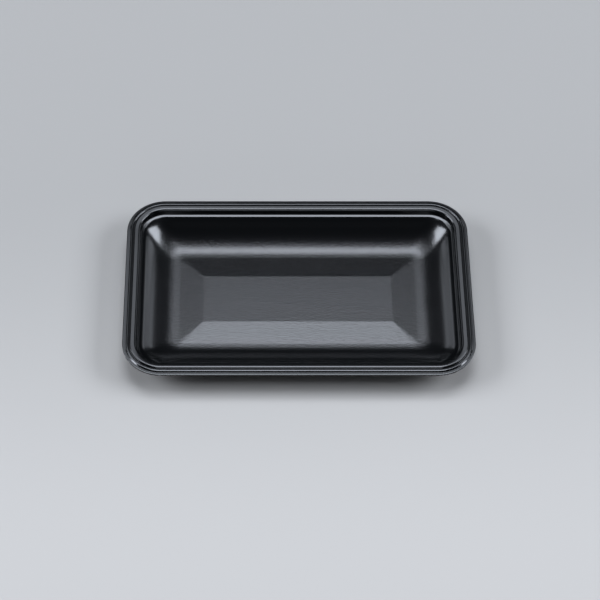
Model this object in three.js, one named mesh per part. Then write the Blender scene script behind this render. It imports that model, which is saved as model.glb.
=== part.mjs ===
// Black food tray, thermoformed from one sheet: a stepped and beaded rim, a ledge for a lid,
// sloping walls with a wide fillet, and a raised middle panel with four mitred facets round it.
// Millimetres, +Z up. X runs along the tray, Y across it.
// The origin is at the middle of the tray, on the surface that it stands on.
import * as THREE from "three";

// Plan of the rim's outer edge
const LENGTH = 220;
const DEPTH = 137.5;
const OUTER_CORNER = 24.4; // plan radius of the rim's corners

// Thickness, and heights above the table
const SHEET = 1.2; // thickness of the formed sheet
const RIM_HEIGHT = 17; // top of the rim's outer edge
const MIDDLE_TOP = RIM_HEIGHT + 0.8; // second bead
const GROOVE = RIM_HEIGHT + 0.4; // groove between the second and the main bead
const MAIN_TOP = RIM_HEIGHT + 1.5; // main bead
const LEDGE = RIM_HEIGHT - 2.8; // outer side of the ledge

// Rim, from its outer edge in. Slopes are in degrees, downward towards the middle.
const BRIM = { startSlope: -12, round: 2.2, slope: 1, width: 1 };
const VALLEY_ROUND = 0.1; // radius at the foot of each bead
const FLANK_ROUND = 0.4; // radius between a bead's flank and its crown
const CROWN_EDGE = 20; // slope where a bead's flank meets its crown
const MIDDLE_BEAD = { flank: 42, round: 1.9, top: MIDDLE_TOP };
const MIDDLE_INNER = 1; // radius of the second bead's inner side
const MAIN_BEAD = { flank: 55, round: 2, top: MAIN_TOP };
const TOP_WIDTH = 1.75; // slanting top of the main bead
const TOP_ANGLE = 4;
const OUTSIDE_ROUND = SHEET + 0.15; // radius of the tight outside bends, wider than the sheet is thick
const DROP_ANGLE = 80;
const DROP_FOOT_ROUND = 0.5; // radius where the drop meets the ledge
const STEP_BENEATH = 3.9; // inset where the rim's lower face starts to rise under the main bead

// Ledge, wall and gutter
const LEDGE_WIDTH = 0.9;
const LEDGE_ANGLE = 10;
const LIP_ANGLE = 28; // slope where the ledge's lip meets the wall
const WALL_SHOULDER = 11; // radius over which the wall steepens below the lip
const WALL_ANGLE = 47; // slope of the wall where it is steepest
const WALL_SWEEP = 30; // hollow radius of the lower wall
const SWEEP_ANGLE = 21.5; // slope where the lower wall meets the fillet
const FILLET = 17.5; // radius between the wall and the gutter
const GUTTER_FLAT = 1.2; // flat bottom of the gutter, which the tray stands on
const FACET_ROUND = 12; // radius where the gutter turns up into the facets
const FACET_ANGLE = 5.7; // slope of the facets up to the middle panel

// Middle panel and the corners near it
const PANEL_LENGTH = 120.5;
const PANEL_DEPTH = 36;
const GUTTER_CORNER = 5; // plan radius at the foot of the fillet
const FACET_CORNER = 3; // plan radius where the facets start

// Fineness of the curves
const CORNER_STEPS = 8; // straight pieces in a quarter turn of a corner
const TIGHT_STEPS = 2;
const ARC_STEPS = 4;
const SWEEP_STEPS = 6;

const radians = THREE.MathUtils.degToRad;
const degrees = THREE.MathUtils.radToDeg;

// A point of the section: inset from the outer edge, height, and downward slope towards the middle.
function sectionPoint(inset, height, slope = 0) {
  return { inset, height, slope };
}

// An arc that goes on from a point, from one slope to another. A rounded-over edge gets steeper.
function arcFrom(start, radius, fromDegrees, toDegrees, steps) {
  const sign = Math.sign(toDegrees - fromDegrees);
  const a0 = radians(fromDegrees);
  return Array.from({ length: steps + 1 }, (_, k) => {
    const a = THREE.MathUtils.lerp(a0, radians(toDegrees), k / steps);
    const inset = start.inset + sign * radius * (Math.sin(a) - Math.sin(a0));
    const height = start.height - sign * radius * (Math.cos(a0) - Math.cos(a));
    return sectionPoint(inset, height, a);
  });
}

// A straight stretch to a given height, at a given slope.
function fallTo(start, height, slopeDegrees) {
  const slope = radians(slopeDegrees);
  return sectionPoint(start.inset + (start.height - height) / Math.tan(slope), height, slope);
}

const last = (points) => points[points.length - 1];

// Height lost by an arc between two slopes.
const arcFall = (radius, fromDegrees, toDegrees) =>
  radius * Math.abs(Math.cos(radians(fromDegrees)) - Math.cos(radians(toDegrees)));

// A valley, a straight flank and a round crown, up to the slope that follows the crown.
function bead(start, { flank, round, top }, endSlope) {
  const valley = arcFrom(start, VALLEY_ROUND, degrees(start.slope), -flank, TIGHT_STEPS);
  const flankTop = top - arcFall(round, CROWN_EDGE, 0) - arcFall(FLANK_ROUND, flank, CROWN_EDGE);
  const edge = arcFrom(fallTo(last(valley), flankTop, -flank), FLANK_ROUND, -flank, -CROWN_EDGE, TIGHT_STEPS);
  const crown = arcFrom(last(edge), round, -CROWN_EDGE, endSlope, ARC_STEPS);
  return [...valley.slice(1), ...edge, ...crown.slice(1)];
}

// The brim, the second bead with the groove behind it, and the crown of the main bead.
function rimSection() {
  const brim = arcFrom(sectionPoint(0, RIM_HEIGHT), BRIM.round, BRIM.startSlope, BRIM.slope, TIGHT_STEPS);
  brim.push(fallTo(last(brim), last(brim).height - BRIM.width * Math.tan(radians(BRIM.slope)), BRIM.slope));
  const middle = bead(last(brim), MIDDLE_BEAD, 0);
  const innerSide = arcFrom(last(middle), MIDDLE_INNER, 0, MIDDLE_BEAD.flank, ARC_STEPS).slice(1);
  const groove = fallTo(last(innerSide), GROOVE, MIDDLE_BEAD.flank);
  return [...brim, ...middle, ...innerSide, groove, ...bead(groove, MAIN_BEAD, TOP_ANGLE)];
}

// The slanting top of the main bead, its shoulder, and the drop to the ledge.
function ledgeSection(crown) {
  const topEnd = fallTo(crown, crown.height - TOP_WIDTH * Math.tan(radians(TOP_ANGLE)), TOP_ANGLE);
  const shoulder = arcFrom(topEnd, OUTSIDE_ROUND, TOP_ANGLE, DROP_ANGLE, ARC_STEPS);
  const drop = fallTo(last(shoulder), LEDGE + arcFall(DROP_FOOT_ROUND, DROP_ANGLE, LEDGE_ANGLE), DROP_ANGLE);
  const foot = arcFrom(drop, DROP_FOOT_ROUND, DROP_ANGLE, LEDGE_ANGLE, ARC_STEPS);
  return [crown, ...shoulder, ...foot];
}

// The ledge's lip, the wall, its fillet, the gutter's flat and the turn up into the facets.
function wallSection(ledgeStart) {
  const ledgeFall = LEDGE_WIDTH * Math.tan(radians(LEDGE_ANGLE));
  const ledgeEnd = fallTo(ledgeStart, ledgeStart.height - ledgeFall, LEDGE_ANGLE);
  const lip = arcFrom(ledgeEnd, OUTSIDE_ROUND, LEDGE_ANGLE, LIP_ANGLE, TIGHT_STEPS);
  const shoulder = arcFrom(last(lip), WALL_SHOULDER, LIP_ANGLE, WALL_ANGLE, ARC_STEPS).slice(1);
  const sweepFall = arcFall(WALL_SWEEP, WALL_ANGLE, SWEEP_ANGLE);
  const sweepTop = fallTo(last(shoulder), SHEET + arcFall(FILLET, SWEEP_ANGLE, 0) + sweepFall, WALL_ANGLE);
  const sweep = arcFrom(sweepTop, WALL_SWEEP, WALL_ANGLE, SWEEP_ANGLE, SWEEP_STEPS);
  const fillet = arcFrom(last(sweep), FILLET, SWEEP_ANGLE, 0, ARC_STEPS).slice(1);
  const flatEnd = sectionPoint(last(fillet).inset + GUTTER_FLAT, SHEET);
  const turn = arcFrom(flatEnd, FACET_ROUND, 0, -FACET_ANGLE, 1);
  return { lip, slope: [...shoulder, ...sweep, ...fillet], turn };
}

// The rim's lower face: only the step up to the main bead shows beneath, eased like a wave.
function rimBeneath(end) {
  const { lerp } = THREE.MathUtils;
  const lower = RIM_HEIGHT - SHEET;
  const steps = 2 * ARC_STEPS;
  const wave = Array.from({ length: steps }, (_, k) => {
    const ease = (1 - Math.cos((Math.PI * k) / steps)) / 2;
    return sectionPoint(lerp(STEP_BENEATH, end.inset, k / steps), lerp(lower, end.height, ease));
  });
  return [sectionPoint(0, lower), ...wave];
}

const rim = rimSection();
const ledge = ledgeSection(last(rim));
const wall = wallSection(last(ledge));
const ledgeEdge = wall.lip[0].inset;
const gutterStart = last(wall.slope).inset;
const facetStart = last(wall.turn);
const inner = [...ledge, ...wall.lip, ...wall.slope, ...wall.turn];
const upperFace = [...rim, ...inner.slice(1)];

// The face beneath lies one sheet thickness away, square to the slope.
function beneath(point) {
  const inset = point.inset - SHEET * Math.sin(point.slope);
  return sectionPoint(inset, point.height - SHEET * Math.cos(point.slope));
}

// Plan radius of the corners: concentric as far as the ledge, then tighter, at first slowly, down to
// the gutter, and tighter still to the facets.
function cornerRadius(inset) {
  if (inset <= ledgeEdge) return OUTER_CORNER - inset;
  const { lerp, mapLinear } = THREE.MathUtils;
  if (inset <= gutterStart) {
    const down = (inset - ledgeEdge) / (gutterStart - ledgeEdge);
    return lerp(OUTER_CORNER - ledgeEdge, GUTTER_CORNER, down * down);
  }
  return mapLinear(inset, gutterStart, facetStart.inset, GUTTER_CORNER, FACET_CORNER);
}

// A closed rounded rectangle of vertices. A square corner is one vertex, used for the whole quarter turn.
function addLoop(vertices, halfLength, halfDepth, radius, height) {
  const loop = [];
  for (let corner = 0; corner < 4; corner++) {
    const [sx, sy] = [[1, 1], [-1, 1], [-1, -1], [1, -1]][corner];
    for (let k = 0; k <= CORNER_STEPS; k++) {
      if (radius > 0 || k === 0) {
        const a = (Math.PI / 2) * (corner + k / CORNER_STEPS);
        const x = sx * (halfLength - radius) + radius * Math.cos(a);
        const y = sy * (halfDepth - radius) + radius * Math.sin(a);
        vertices.push(x, y, height);
      }
      loop.push(vertices.length / 3 - 1);
    }
  }
  return loop;
}

function sectionLoop(vertices, point) {
  const halfLength = LENGTH / 2 - point.inset;
  const halfDepth = DEPTH / 2 - point.inset;
  return addLoop(vertices, halfLength, halfDepth, cornerRadius(point.inset), point.height);
}

function addTriangle(indices, a, b, c) {
  if (a !== b && b !== c && c !== a) indices.push(a, b, c);
}

// The strip of faces between two loops. The second loop lies further along the section.
function addStrip(indices, near, far) {
  near.forEach((a, i) => {
    const next = (i + 1) % near.length;
    addTriangle(indices, a, near[next], far[next]);
    addTriangle(indices, a, far[next], far[i]);
  });
}

// The flat panel inside a loop with square corners.
function addPanel(indices, loop, up) {
  const [a, b, c, d] = [0, 1, 2, 3].map((corner) => loop[corner * (CORNER_STEPS + 1)]);
  if (up) indices.push(a, b, c, a, c, d);
  else indices.push(a, c, b, a, d, c);
}

function trayGeometry() {
  const facetWidth = (LENGTH - PANEL_LENGTH) / 2 - facetStart.inset;
  const panelHeight = facetStart.height + facetWidth * Math.tan(radians(FACET_ANGLE));
  const [vertices, indices] = [[], []];
  const panelLoop = (height) => addLoop(vertices, PANEL_LENGTH / 2, PANEL_DEPTH / 2, 0, height);

  const innerBeneath = inner.map(beneath);
  const lowerFace = [...rimBeneath(innerBeneath[0]), ...innerBeneath];
  const over = upperFace.map((point) => sectionLoop(vertices, point));
  const under = lowerFace.map((point) => sectionLoop(vertices, point));
  const panelOver = panelLoop(panelHeight);
  const panelUnder = panelLoop(panelHeight - SHEET);

  const loops = [panelUnder, ...under.reverse(), ...over, panelOver];
  for (let i = 0; i + 1 < loops.length; i++) addStrip(indices, loops[i], loops[i + 1]);
  addPanel(indices, panelOver, true);
  addPanel(indices, panelUnder, false);

  const geometry = new THREE.BufferGeometry();
  geometry.setAttribute("position", new THREE.Float32BufferAttribute(vertices, 3));
  geometry.setIndex(indices);
  geometry.computeVertexNormals();
  return geometry;
}

const blackPlastic = new THREE.MeshStandardMaterial({ color: 0x0d0e10, roughness: 0.35, metalness: 0 });
const tray = new THREE.Mesh(trayGeometry(), blackPlastic);
tray.name = "tray";

const foodTray = new THREE.Group();
foodTray.add(tray);

export default foodTray;
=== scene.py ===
"""A black takeaway tray, formed from one sheet of polystyrene, on a pale studio table.

The tray's fine surface is lofted from the same section as its solid, and lies inside the same box.
"""
import math

import bpy
from bpy.props import FloatProperty, FloatVectorProperty, PointerProperty
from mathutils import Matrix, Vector


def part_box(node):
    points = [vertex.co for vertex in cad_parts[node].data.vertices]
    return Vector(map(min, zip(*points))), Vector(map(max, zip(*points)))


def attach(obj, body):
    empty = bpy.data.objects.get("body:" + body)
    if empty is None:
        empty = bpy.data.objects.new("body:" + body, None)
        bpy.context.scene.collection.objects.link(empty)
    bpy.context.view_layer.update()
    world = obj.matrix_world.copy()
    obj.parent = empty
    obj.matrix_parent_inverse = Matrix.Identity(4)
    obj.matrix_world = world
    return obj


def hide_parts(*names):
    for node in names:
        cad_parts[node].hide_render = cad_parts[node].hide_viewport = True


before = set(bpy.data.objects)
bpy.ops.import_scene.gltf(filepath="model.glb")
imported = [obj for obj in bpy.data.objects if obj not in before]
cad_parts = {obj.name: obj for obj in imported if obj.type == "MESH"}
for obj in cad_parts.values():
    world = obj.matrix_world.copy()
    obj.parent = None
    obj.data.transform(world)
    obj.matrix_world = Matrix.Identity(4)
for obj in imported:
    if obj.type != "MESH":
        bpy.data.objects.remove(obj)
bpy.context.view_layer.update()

bl_info = {
    "name": "Food tray",
    "version": (1, 0, 0),
    "blender": (4, 5, 0),
    "location": "3D View > Sidebar > Food tray",
    "description": "Builds a thermoformed food tray and the table and lights round it",
    "category": "Add Mesh",
}

NODE = "tray"
MM = 0.001
LOW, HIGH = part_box(NODE)
LENGTH = HIGH.x - LOW.x
DEPTH = HIGH.y - LOW.y


# Colours

def linear(hex_colour):
    """A colour written as sRGB hex, turned to Blender's linear values, with full alpha."""
    parts = [int(hex_colour[i:i + 2], 16) / 255 for i in (1, 3, 5)]
    return tuple([c / 12.92 if c <= 0.04045 else ((c + 0.055) / 1.055) ** 2.4 for c in parts] + [1.0])


# Settings

def size(name, description, default):
    return FloatProperty(name=name, description=description, default=default, unit="LENGTH", precision=4)


def angle(name, description, degrees):
    return FloatProperty(name=name, description=description, default=math.radians(degrees), subtype="ANGLE")


class TraySizes(bpy.types.PropertyGroup):
    """Sizes of the tray's section, from the rim's outer edge in to the middle panel."""

    sheet: size("Sheet", "Thickness of the formed sheet", 1.2 * MM)
    rim_height: size("Rim height", "Top of the rim's outer edge above the table", 17 * MM)
    outer_corner: size("Outer corner", "Plan radius of the rim's corners", 24.4 * MM)
    brim_slope: angle("Brim slope", "Outward slope of the brim at its outer edge", 12)
    brim_round: size("Brim round", "Radius of the brim's outer edge", 2.2 * MM)
    brim_fall: angle("Brim fall", "Inward slope of the brim", 1)
    brim_width: size("Brim width", "Width of the brim's sloping part", 1.0 * MM)
    valley_round: size("Valley", "Radius at the foot of each bead", 0.1 * MM)
    flank_round: size("Flank round", "Radius between a bead's flank and its crown", 0.4 * MM)
    crown_edge: angle("Crown edge", "Slope where a bead's flank meets its crown", 20)
    middle_flank: angle("Second bead's flank", "Slope of the second bead's flanks", 42)
    middle_round: size("Second crown", "Radius of the second bead's crown", 1.9 * MM)
    middle_inner: size("Second bead's inner round", "Radius of the second bead's inner side", 1 * MM)
    middle_height: size("Second bead", "Second bead above the rim's outer edge", 0.8 * MM)
    groove_height: size("Groove", "Groove before the main bead, above the rim's outer edge", 0.4 * MM)
    main_flank: angle("Main bead's flank", "Slope of the main bead's outer flank", 55)
    main_round: size("Main crown", "Radius of the main bead's crown", 2 * MM)
    main_height: size("Main bead", "Main bead above the rim's outer edge", 1.498 * MM)
    top_width: size("Top width", "Width of the main bead's slanting top", 1.75 * MM)
    top_angle: angle("Top angle", "Slope of the main bead's top towards the middle", 4)
    outside_round: size("Outside round", "Radius of the tight outside bends, over the sheet", 1.35 * MM)
    step_beneath: size("Step beneath", "Inset where the lower face rises under the main bead", 3.9 * MM)
    drop_angle: angle("Drop angle", "Slope of the drop from the main bead to the ledge", 80)
    drop_foot_round: size("Drop foot", "Radius where the drop meets the ledge", 0.5 * MM)
    ledge_fall: size("Ledge fall", "Outer side of the ledge below the rim's outer edge", 2.8 * MM)
    ledge_width: size("Ledge width", "Width of the ledge", 0.9 * MM)
    ledge_angle: angle("Ledge angle", "Slope of the ledge towards the middle", 10)
    lip_angle: angle("Lip angle", "Slope where the ledge's lip meets the wall", 28)
    wall_shoulder: size("Wall shoulder", "Radius over which the wall steepens below the lip", 11 * MM)
    wall_angle: angle("Wall angle", "Slope of the wall where it is steepest", 47)
    wall_sweep: size("Wall sweep", "Hollow radius of the lower wall", 30 * MM)
    sweep_angle: angle("Sweep angle", "Slope where the lower wall meets the fillet", 21.5)
    fillet: size("Fillet", "Radius between the wall and the gutter", 17.5 * MM)
    gutter_flat: size("Gutter flat", "Flat bottom of the gutter, which the tray stands on", 1.2 * MM)
    facet_round: size("Facet round", "Radius where the gutter turns up into the facets", 12 * MM)
    facet_angle: angle("Facet angle", "Slope of the facets up to the middle panel", 5.7)
    panel_length: size("Panel length", "Middle panel along the tray", 120.5 * MM)
    panel_depth: size("Panel depth", "Middle panel across the tray", 36 * MM)
    gutter_corner: size("Gutter corner", "Plan radius at the foot of the fillet", 5 * MM)
    facet_corner: size("Facet corner", "Plan radius where the facets start", 3 * MM)
    panel_corner: size("Panel corner", "Plan radius of the middle panel's corners", 0.15 * MM)


class TrayFinish(bpy.types.PropertyGroup):
    """Colour, gloss and grain of the sheet. The heights are above the table."""

    black: FloatVectorProperty(
        name="Black", description="Colour of the pigmented sheet", default=linear("#070809"),
        size=4, subtype="COLOR", min=0, max=1)
    floor_roughness: FloatProperty(
        name="Floor roughness", description="Roughness of the pebbled floor", default=0.23, subtype="FACTOR")
    wall_roughness: FloatProperty(
        name="Wall roughness", description="Roughness of the stretched, glossier walls",
        default=0.2, subtype="FACTOR")
    rim_roughness: FloatProperty(
        name="Rim roughness", description="Roughness of the pressed rim", default=0.13, subtype="FACTOR")
    rim_low: size("Rim gloss from", "Height where the rim's gloss starts", 12.5 * MM)
    rim_high: size("Rim gloss", "Height where the rim's gloss is full", 13.9 * MM)
    # real grain is finer and lower, and is drawn this coarse so that it shows
    pebble: size("Pebble", "Width of one pebble of the floor's grain", 1 * MM)
    pebble_height: size("Pebble height", "Height of the floor's grain", 0.16 * MM)
    grain_low: size("Grain fades from", "Height where the floor's grain starts to fade", 3 * MM)
    grain_high: size("Grain ends", "Height where the floor's grain ends", 9 * MM)


class StageSettings(bpy.types.PropertyGroup):
    """The table, the studio lights and the camera."""

    table: FloatVectorProperty(
        name="Table", description="Colour of the paper behind the tray", default=linear("#9c9a97"),
        size=4, subtype="COLOR", min=0, max=1)
    # painted light: the paper in front of the tray gets a paler colour, standing for the brighter light that
    # falls there
    table_front_painted_light: FloatVectorProperty(
        name="Table in front", description="Colour of the paper in front of the tray",
        default=linear("#b4b1ad"), size=4, subtype="COLOR", min=0, max=1)
    # between these two places the paper's colour blends from its own colour to the paler painted-light colour
    # in front
    painted_light_starts: size("Grading starts", "Place behind the tray where the paper starts to get paler", 0.1)
    painted_light_ends: size("Grading ends", "Place in front of the tray where the paper is palest", -0.2)
    studio: FloatVectorProperty(
        name="Studio", description="Light that comes from the dark room itself", default=linear("#1c1c1e"),
        size=4, subtype="COLOR", min=0, max=1)
    top_power: FloatProperty(
        name="Top light", description="Power of the softbox overhead", default=33, unit="POWER")
    side_power: FloatProperty(
        name="Side lights", description="Power of each softbox at the sides", default=52, unit="POWER")
    back_power: FloatProperty(
        name="Back lights", description="Power of each softbox high at the back", default=6, unit="POWER")
    strip_power: FloatProperty(
        name="Strip lights", description="Power of each low strip behind the tray's ends",
        default=3.2, unit="POWER")
    fill_power: FloatProperty(
        name="Fill light", description="Power of the low fill light in front", default=7, unit="POWER")


# The tray's section: inset from the rim's outer edge, height, and downward slope towards the middle

class Section:
    """The upper face's section, sampled finely, and the face beneath it."""

    TURN_STEPS = 2
    TIGHT_STEPS = 4
    ARC_STEPS = 8
    SWEEP_STEPS = 20
    def __init__(self, sizes):
        self.sizes = sizes
        self.rim = self.rim_points()
        self.ledge = self.ledge_points(self.rim[-1])
        self.wall, self.turn = self.wall_points(self.ledge[-1])
        self.facet_start = self.turn[-1]
        inner = self.ledge + self.wall + self.turn
        lower = [self.beneath(p) for p in inner]
        self.over = self.rim + inner[1:]
        self.under = self.rim_beneath(lower[0]) + lower
        run = (LENGTH - sizes.panel_length) / 2 - self.facet_start[0]
        self.panel_height = self.facet_start[1] + run * math.tan(sizes.facet_angle)

    def rim_beneath(self, end):
        """The rim's lower face, on which only the step up to the main bead shows, eased like a wave."""
        start, lower = self.sizes.step_beneath, self.sizes.rim_height - self.sizes.sheet
        points = [(0.0, lower)]
        steps = 2 * self.ARC_STEPS
        for k in range(steps):
            t = k / steps
            ease = (1 - math.cos(math.pi * t)) / 2
            points.append((start + (end[0] - start) * t, lower + (end[1] - lower) * ease))
        return points

    def bead(self, start, flank_angle, crown_round, crown_height, end_slope):
        """A valley, a straight flank and a round crown, up to the slope that follows the crown."""
        s = self.sizes
        valley = self.arc(start, s.valley_round, start[2], -flank_angle, self.TIGHT_STEPS)
        flank_top = (s.rim_height + crown_height - self.arc_fall(crown_round, s.crown_edge, 0)
                     - self.arc_fall(s.flank_round, flank_angle, s.crown_edge))
        flank = self.fall(valley[-1], flank_top, -flank_angle)
        edge = self.arc(flank, s.flank_round, -flank_angle, -s.crown_edge, self.TIGHT_STEPS)
        crown = self.arc(edge[-1], crown_round, -s.crown_edge, end_slope, self.ARC_STEPS)
        return valley[1:] + edge + crown[1:]

    def rim_points(self):
        """The low brim, the second bead with the groove behind it, and the main bead's crown."""
        s = self.sizes
        brim = self.arc((0.0, s.rim_height), s.brim_round, -s.brim_slope, s.brim_fall, self.ARC_STEPS)
        brim.append(self.fall(brim[-1], brim[-1][1] - s.brim_width * math.tan(s.brim_fall), s.brim_fall))
        middle = self.bead(brim[-1], s.middle_flank, s.middle_round, s.middle_height, 0)
        inner_side = self.arc(middle[-1], s.middle_inner, 0, s.middle_flank, self.ARC_STEPS)
        groove = self.fall(inner_side[-1], s.rim_height + s.groove_height, s.middle_flank)
        main = self.bead(groove, s.main_flank, s.main_round, s.main_height, s.top_angle)
        return brim + middle + inner_side[1:] + [groove] + main

    @staticmethod
    def arc(start, radius, slope, end_slope, steps):
        """An arc that goes on from a point, from one slope to another. A rounded-over edge gets steeper."""
        sign = 1 if end_slope > slope else -1
        points = []
        for k in range(steps + 1):
            a = slope + (end_slope - slope) * k / steps
            x = start[0] + sign * radius * (math.sin(a) - math.sin(slope))
            z = start[1] - sign * radius * (math.cos(slope) - math.cos(a))
            points.append((x, z, a))
        return points

    @staticmethod
    def fall(start, height, slope):
        """A straight stretch down to a height."""
        return (start[0] + (start[1] - height) / math.tan(slope), height, slope)

    @staticmethod
    def arc_fall(radius, slope, end_slope):
        """Height lost by an arc between two slopes."""
        return radius * abs(math.cos(slope) - math.cos(end_slope))

    def ledge_points(self, crown):
        """The main bead's slanting top, its shoulder, and the drop to the ledge."""
        s = self.sizes
        top_end = self.fall(crown, crown[1] - s.top_width * math.tan(s.top_angle), s.top_angle)
        shoulder = self.arc(top_end, s.outside_round, s.top_angle, s.drop_angle, self.ARC_STEPS)
        foot_top = s.rim_height - s.ledge_fall + self.arc_fall(s.drop_foot_round, s.drop_angle, s.ledge_angle)
        drop = self.fall(shoulder[-1], foot_top, s.drop_angle)
        foot = self.arc(drop, s.drop_foot_round, s.drop_angle, s.ledge_angle, self.ARC_STEPS)
        return [crown] + shoulder + foot

    def wall_points(self, start):
        """The ledge's lip, the wall, its fillet and the gutter's flat, then the turn up into the facets."""
        s = self.sizes
        ledge_end = self.fall(start, start[1] - s.ledge_width * math.tan(s.ledge_angle), s.ledge_angle)
        lip = self.arc(ledge_end, s.outside_round, s.ledge_angle, s.lip_angle, self.ARC_STEPS)
        shoulder = self.arc(lip[-1], s.wall_shoulder, s.lip_angle, s.wall_angle, self.ARC_STEPS)
        foot_top = (s.sheet + self.arc_fall(s.fillet, s.sweep_angle, 0)
                    + self.arc_fall(s.wall_sweep, s.wall_angle, s.sweep_angle))
        sweep_top = self.fall(shoulder[-1], foot_top, s.wall_angle)
        sweep = self.arc(sweep_top, s.wall_sweep, s.wall_angle, s.sweep_angle, self.SWEEP_STEPS)
        fillet = self.arc(sweep[-1], s.fillet, s.sweep_angle, 0, self.SWEEP_STEPS)
        flat_end = (fillet[-1][0] + s.gutter_flat, s.sheet, 0.0)
        turn = self.arc(flat_end, s.facet_round, 0, -s.facet_angle, self.TURN_STEPS)
        return lip + shoulder[1:] + sweep + fillet[1:], turn

    def beneath(self, point):
        """The point of the lower face, one sheet thickness away, square to the slope."""
        inset, height, slope = point
        sheet = self.sizes.sheet
        return (inset - sheet * math.sin(slope), height - sheet * math.cos(slope), slope)

    def corner_radius(self, inset):
        """Concentric as far as the ledge, then tighter, at first slowly, down to the gutter and facets."""
        s = self.sizes
        ledge_edge, gutter = self.wall[0][0], self.wall[-1][0]
        if inset <= ledge_edge:
            return s.outer_corner - inset
        if inset <= gutter:
            t = ((inset - ledge_edge) / (gutter - ledge_edge)) ** 2
            return (s.outer_corner - ledge_edge) * (1 - t) + s.gutter_corner * t
        t = (inset - gutter) / (self.facet_start[0] - gutter)
        return s.gutter_corner * (1 - t) + s.facet_corner * t


class Loft:
    """Collects rounded rectangles and joins them by strips of faces."""

    CORNER_STEPS = 16
    LONG_STEPS = 24
    SHORT_STEPS = 14

    def __init__(self):
        self.vertices = []
        self.faces = []

    def loop(self, half_length, half_depth, radius, height):
        first = len(self.vertices)
        corners = ((1, 1), (-1, 1), (-1, -1), (1, -1))
        for n, (sx, sy) in enumerate(corners):
            x, y = sx * (half_length - radius), sy * (half_depth - radius)
            for k in range(self.CORNER_STEPS + 1):
                a = math.pi / 2 * (n + k / self.CORNER_STEPS)
                self.vertices.append((x + radius * math.cos(a), y + radius * math.sin(a), height))
            start = Vector(self.vertices[-1])
            nx, ny = corners[(n + 1) % 4]
            a = math.pi / 2 * (n + 1)
            end = Vector((nx * (half_length - radius) + radius * math.cos(a),
                          ny * (half_depth - radius) + radius * math.sin(a), height))
            steps = self.LONG_STEPS if n % 2 == 0 else self.SHORT_STEPS
            self.vertices += [tuple(start.lerp(end, k / steps)) for k in range(1, steps)]
        return range(first, len(self.vertices))

    def strip(self, near, far):
        count = len(near)
        for i in range(count):
            j = (i + 1) % count
            self.faces.append((near[i], near[j], far[j], far[i]))

    def strips(self, loops):
        for near, far in zip(loops, loops[1:]):
            self.strip(near, far)


# margins of the loops on the panel, closer together near its edge
PANEL_MARGINS = [m * MM for m in (0.4, 1.2, 3, 6, 10, 14, 17)]
FACET_STEPS = 8


def tray_mesh(sizes):
    """The whole sheet: its upper face, its outer edge and its lower face."""
    section, loft = Section(sizes), Loft()

    def section_loop(point):
        inset, height = point[:2]
        return loft.loop(LENGTH / 2 - inset, DEPTH / 2 - inset, section.corner_radius(inset), height)

    def facet_loops(start, panel_height):
        """Loops that climb from the gutter to the panel's edge, closer together near the crease."""
        inset, height = start[:2]
        near_length, near_depth = LENGTH / 2 - inset, DEPTH / 2 - inset
        loops = []
        for k in range(1, FACET_STEPS + 1):
            t = 1 - (1 - k / FACET_STEPS) ** 2
            half_length = near_length + (sizes.panel_length / 2 - near_length) * t
            half_depth = near_depth + (sizes.panel_depth / 2 - near_depth) * t
            radius = section.corner_radius(inset) * (1 - t) + sizes.panel_corner * t
            loops.append(loft.loop(half_length, half_depth, radius, height + (panel_height - height) * t))
        return loops

    def panel_loops(panel_height):
        """Loops that shrink towards the middle of the panel."""
        half_length, half_depth = sizes.panel_length / 2, sizes.panel_depth / 2
        return [loft.loop(half_length - m, half_depth - m, sizes.panel_corner / 2, panel_height)
                for m in PANEL_MARGINS]

    over = [section_loop(p) for p in section.over]
    over += facet_loops(section.over[-1], section.panel_height)
    over += panel_loops(section.panel_height)
    under = [section_loop(p) for p in section.under]
    under += facet_loops(section.under[-1], section.panel_height - sizes.sheet)
    under += panel_loops(section.panel_height - sizes.sheet)

    loft.strips(under[::-1] + over)
    loft.faces.append(tuple(over[-1]))
    loft.faces.append(tuple(reversed(under[-1])))
    mesh = bpy.data.meshes.new("tray_sheet")
    mesh.from_pydata(loft.vertices, [], loft.faces)
    mesh.validate()
    return mesh


# Materials

def add_node(tree, kind, settings=None, inputs=None):
    """Adds a node with its settings. An input is a value, or a socket to link from."""
    node = tree.nodes.new(kind)
    for key, value in (settings or {}).items():
        setattr(node, key, value)
    for key, value in (inputs or {}).items():
        if isinstance(value, bpy.types.NodeSocket):
            tree.links.new(value, node.inputs[key])
        else:
            node.inputs[key].default_value = value
    return node


def new_material(name):
    material = bpy.data.materials.new(name)
    material.use_nodes = True
    material.node_tree.nodes.clear()
    return material, material.node_tree


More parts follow.
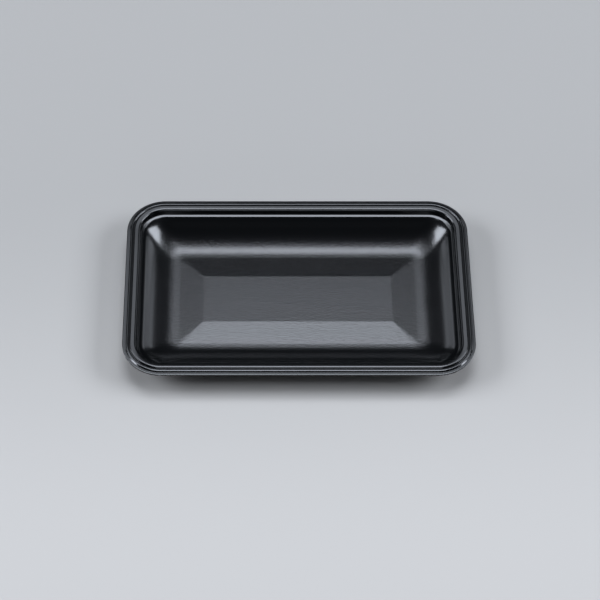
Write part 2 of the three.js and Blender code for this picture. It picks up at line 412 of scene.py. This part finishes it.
def formed_polystyrene(finish):
    """Black polystyrene sheet, vacuum formed: pebbled where it hardly stretched, glossy where it did."""
    material, tree = new_material("polystyrene_sheet_vacuum_formed")
    place = add_node(tree, "ShaderNodeTexCoord")
    xyz = add_node(tree, "ShaderNodeSeparateXYZ", inputs={0: place.outputs["Object"]})
    # the sheet stretches from the gutter up, so the grain fades out over the fillet and the lower wall
    unstretched = add_node(tree, "ShaderNodeMapRange", {"interpolation_type": "SMOOTHSTEP"}, {
        "Value": xyz.outputs["Z"], "From Min": finish.grain_low, "From Max": finish.grain_high,
        "To Min": 1, "To Max": 0})
    pebbles = add_node(tree, "ShaderNodeTexNoise", inputs={
        "Vector": place.outputs["Object"], "Scale": 1 / finish.pebble, "Detail": 2.0, "Roughness": 0.5})
    grain = add_node(tree, "ShaderNodeMath", {"operation": "MULTIPLY"}, {
        0: pebbles.outputs["Fac"], 1: unstretched.outputs[0]})
    bump = add_node(tree, "ShaderNodeBump", inputs={
        "Strength": 1.0, "Distance": finish.pebble_height, "Height": grain.outputs[0]})
    lower = add_node(tree, "ShaderNodeMapRange", inputs={
        "Value": unstretched.outputs[0], "To Min": finish.wall_roughness, "To Max": finish.floor_roughness})
    # the rim is pressed between the tools, so it shines most
    roughness = add_node(tree, "ShaderNodeMapRange", inputs={
        "Value": xyz.outputs["Z"], "From Min": finish.rim_low, "From Max": finish.rim_high,
        "To Min": lower.outputs[0], "To Max": finish.rim_roughness})
    shader = add_node(tree, "ShaderNodeBsdfPrincipled", inputs={
        "Base Color": finish.black, "IOR": 1.59, "Roughness": roughness.outputs[0],
        "Normal": bump.outputs[0]})
    add_node(tree, "ShaderNodeOutputMaterial", inputs={"Surface": shader.outputs[0]})
    return material


def paper_floor(stage):
    """Matt studio paper without grain, drawn paler towards the front: painted light, standing for the
    brighter light on the paper in front.
    """
    material, tree = new_material("studio_paper_matt")
    place = add_node(tree, "ShaderNodeTexCoord")
    xyz = add_node(tree, "ShaderNodeSeparateXYZ", inputs={0: place.outputs["Object"]})
    # painted light: the paper blends towards the paler front colour, standing for the brighter light in front
    # of the tray
    front = add_node(tree, "ShaderNodeMapRange", {"interpolation_type": "SMOOTHSTEP"}, {
        "Value": xyz.outputs["Y"], "From Min": stage.painted_light_starts, "From Max": stage.painted_light_ends,
        "To Min": 0, "To Max": 1})
    tone = add_node(tree, "ShaderNodeMix", {"data_type": "RGBA"}, {
        0: front.outputs[0], 6: stage.table, 7: stage.table_front_painted_light})
    shader = add_node(tree, "ShaderNodeBsdfPrincipled", inputs={
        "Base Color": tone.outputs[2], "Roughness": 0.9, "Specular IOR Level": 0.2})
    add_node(tree, "ShaderNodeOutputMaterial", inputs={"Surface": shader.outputs[0]})
    return material


# Operators

def link(name, data):
    thing = bpy.data.objects.new(name, data)
    bpy.context.scene.collection.objects.link(thing)
    return thing


class FOODTRAY_OT_sheet(bpy.types.Operator):
    """Builds the tray's formed sheet, with its rim, ledge, walls and faceted floor"""

    bl_idname = "food_tray.sheet"
    bl_label = "Formed sheet"

    def execute(self, context):
        scene = context.scene
        mesh = tray_mesh(scene.tray_sizes)
        mesh.shade_smooth()
        mesh.materials.append(formed_polystyrene(scene.tray_finish))
        sheet = link("tray_sheet", mesh)
        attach(sheet, "root")
        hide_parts(NODE)
        return {"FINISHED"}


# the floor reaches the horizon in the tray's reflections
FLOOR_RADIUS = 6
FLOOR_SIDES = 96

LAMP_DISTANCE = 2.6
# the lamps are slightly cooler than the camera's white
SOFTBOX_TINT = (0.92, 0.985, 1.095)


def floor_mesh():
    """A round floor."""
    turns = [2 * math.pi * k / FLOOR_SIDES for k in range(FLOOR_SIDES)]
    mesh = bpy.data.meshes.new("floor")
    mesh.from_pydata([(FLOOR_RADIUS * math.cos(a), FLOOR_RADIUS * math.sin(a), 0) for a in turns], [],
                     [range(FLOOR_SIDES)])
    return mesh


def add_softbox(name, azimuth, elevation, width, height, power):
    """An area light that looks at the tray. Azimuth is counted from the back, in degrees like elevation."""
    a, e = math.radians(azimuth), math.radians(elevation)
    place = Vector((math.sin(a) * math.cos(e), math.cos(a) * math.cos(e), math.sin(e))) * LAMP_DISTANCE
    data = bpy.data.lights.new(name, "AREA")
    data.shape = "RECTANGLE"
    data.size, data.size_y, data.energy = width, height, power
    data.color = SOFTBOX_TINT
    lamp = link(name, data)
    lamp.location = place
    lamp.rotation_euler = (-place).to_track_quat("-Z", "Y").to_euler()


def add_softboxes(stage):
    """The lamps, each of which makes one highlight on the tray."""
    # one bright band along the back fillet, and the pale near facet
    add_softbox("softbox_top", 0, 77.5, 1.1, 1.35, stage.top_power)
    # the grey of the level middle panel
    add_softbox("back_middle", 0, 57, 0.9, 0.6, stage.back_power / 2)
    # the glow under the front rim
    add_softbox("fill", 180, 15, 1.6, 0.6, stage.fill_power)
    for side, sign in (("left", -1), ("right", 1)):
        # the streaks in the back corners
        add_softbox("softbox_" + side, sign * 90, 36, 1.6, 1.05, stage.side_power)
        # the lines along the end fillets
        add_softbox("back_" + side, sign * 38.7, 61, 0.7, 0.7, stage.back_power)
        # the soft bands down the end walls
        add_softbox("strip_" + side, sign * 54.9, 9, 1.6, 0.5, stage.strip_power)


def add_camera():
    """The photograph's camera: a long lens from the front, 53.5 degrees above the table."""
    elevation, distance = math.radians(53.495), 1.326
    # the point that it looks at, on the plane of the rim's outer edge
    aim = Vector((-0.027, -0.0116, bpy.context.scene.tray_sizes.rim_height))
    # the focal length, 3.5 times the picture's width, and the tray's place beside the picture's middle
    focal_ratio, shift = 3.5012, 0.0741
    data = bpy.data.cameras.new("camera")
    data.lens = data.sensor_width * focal_ratio
    data.shift_x = shift
    data.clip_start, data.clip_end = 0.05, 20
    camera = link("camera", data)
    camera.location = aim + Vector((0, -math.cos(elevation), math.sin(elevation))) * distance
    camera.rotation_euler = (math.pi / 2 - elevation, 0, 0)
    bpy.context.scene.camera = camera


class FOODTRAY_OT_stage(bpy.types.Operator):
    """Sets the backdrop, the studio lights and the camera"""

    bl_idname = "food_tray.stage"
    bl_label = "Stage"

    def execute(self, context):
        scene = context.scene
        stage = scene.tray_stage
        mesh = floor_mesh()
        mesh.materials.append(paper_floor(stage))
        link("floor", mesh)
        add_softboxes(stage)
        world = bpy.data.worlds.new("studio")
        world.use_nodes = True
        world.node_tree.nodes["Background"].inputs["Color"].default_value = stage.studio
        scene.world = world
        scene.view_settings.view_transform = "Standard"
        add_camera()
        return {"FINISHED"}


class FOODTRAY_PT_panel(bpy.types.Panel):
    """Lists the tray's sizes, finish and stage, and the operators that build them"""

    bl_idname = "FOODTRAY_PT_panel"
    bl_label = "Food tray"
    bl_space_type = "VIEW_3D"
    bl_region_type = "UI"
    bl_category = "Food tray"

    def draw(self, context):
        scene, layout = context.scene, self.layout
        for group in (scene.tray_sizes, scene.tray_finish, scene.tray_stage):
            box = layout.box()
            for key in group.__annotations__:
                box.prop(group, key)
        layout.operator(FOODTRAY_OT_sheet.bl_idname)
        layout.operator(FOODTRAY_OT_stage.bl_idname)


CLASSES = (TraySizes, TrayFinish, StageSettings, FOODTRAY_OT_sheet, FOODTRAY_OT_stage, FOODTRAY_PT_panel)


def register():
    for cls in CLASSES:
        bpy.utils.register_class(cls)
    bpy.types.Scene.tray_sizes = PointerProperty(type=TraySizes)
    bpy.types.Scene.tray_finish = PointerProperty(type=TrayFinish)
    bpy.types.Scene.tray_stage = PointerProperty(type=StageSettings)


def unregister():
    del bpy.types.Scene.tray_stage
    del bpy.types.Scene.tray_finish
    del bpy.types.Scene.tray_sizes
    for cls in reversed(CLASSES):
        bpy.utils.unregister_class(cls)


def write_sizes():
    """Brings the scene's placements up to date."""
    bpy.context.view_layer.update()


def main():
    register()
    bpy.ops.food_tray.sheet()
    bpy.ops.food_tray.stage()
    write_sizes()


if __name__ == "__main__":
    main()
